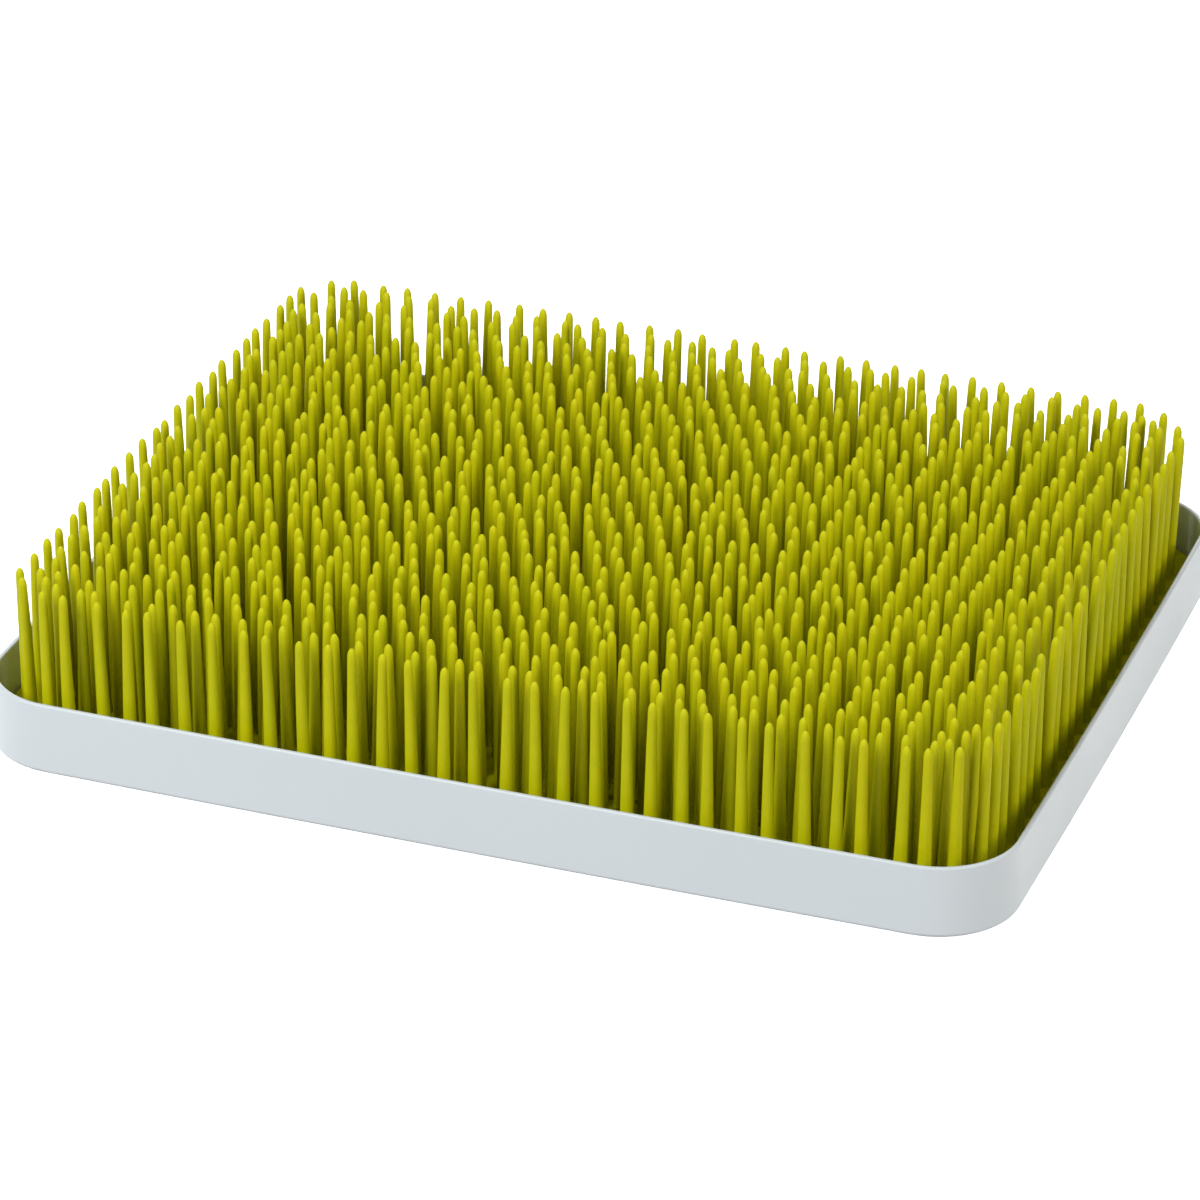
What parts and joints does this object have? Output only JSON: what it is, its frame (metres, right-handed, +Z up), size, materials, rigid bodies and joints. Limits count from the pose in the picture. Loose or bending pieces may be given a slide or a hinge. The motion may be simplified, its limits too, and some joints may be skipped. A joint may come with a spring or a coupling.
{
  "type": "bottle drying rack",
  "caption": "Low rectangular drip tray with rounded corners and a lift-out insert of upright flexible grass-like blades that hold bottles and small parts to dry.",
  "frame": {"origin": "centre of the tray's underside, on the surface that the rack stands on", "axes": "+Z up along the blades, +X along the tray's long side, -Y towards its front"},
  "size_m": [0.392, 0.316, 0.069],
  "materials": {
    "tray": "satin moulded white",
    "grass": "satin translucent lime green"
  },
  "bodies": {
    "tray": {"tray": "tray"},
    "insert": {"insert_deck": "grass", "insert_feet": "grass", "blade_border": "grass", "blade_row_01": "grass", "blade_row_02": "grass", "blade_row_03": "grass", "blade_row_04": "grass", "blade_row_05": "grass", "blade_row_06": "grass", "blade_row_07": "grass", "blade_row_08": "grass", "blade_row_09": "grass", "blade_row_10": "grass", "blade_row_11": "grass", "blade_row_12": "grass", "blade_row_13": "grass", "blade_row_14": "grass", "blade_row_15": "grass", "blade_row_16": "grass", "blade_row_17": "grass", "blade_row_18": "grass", "blade_row_19": "grass", "blade_row_20": "grass", "blade_row_21": "grass", "blade_row_22": "grass", "blade_row_23": "grass", "blade_row_24": "grass", "blade_row_25": "grass", "blade_row_26": "grass", "blade_row_27": "grass", "blade_row_28": "grass", "blade_row_29": "grass", "blade_row_30": "grass", "blade_row_31": "grass"}
  },
  "joints": [
    {"name": "insert_lift", "type": "slide", "parent": "tray", "child": "insert", "axis": [0, 0, 1], "range_m": [0, 0.1]}
  ]
}
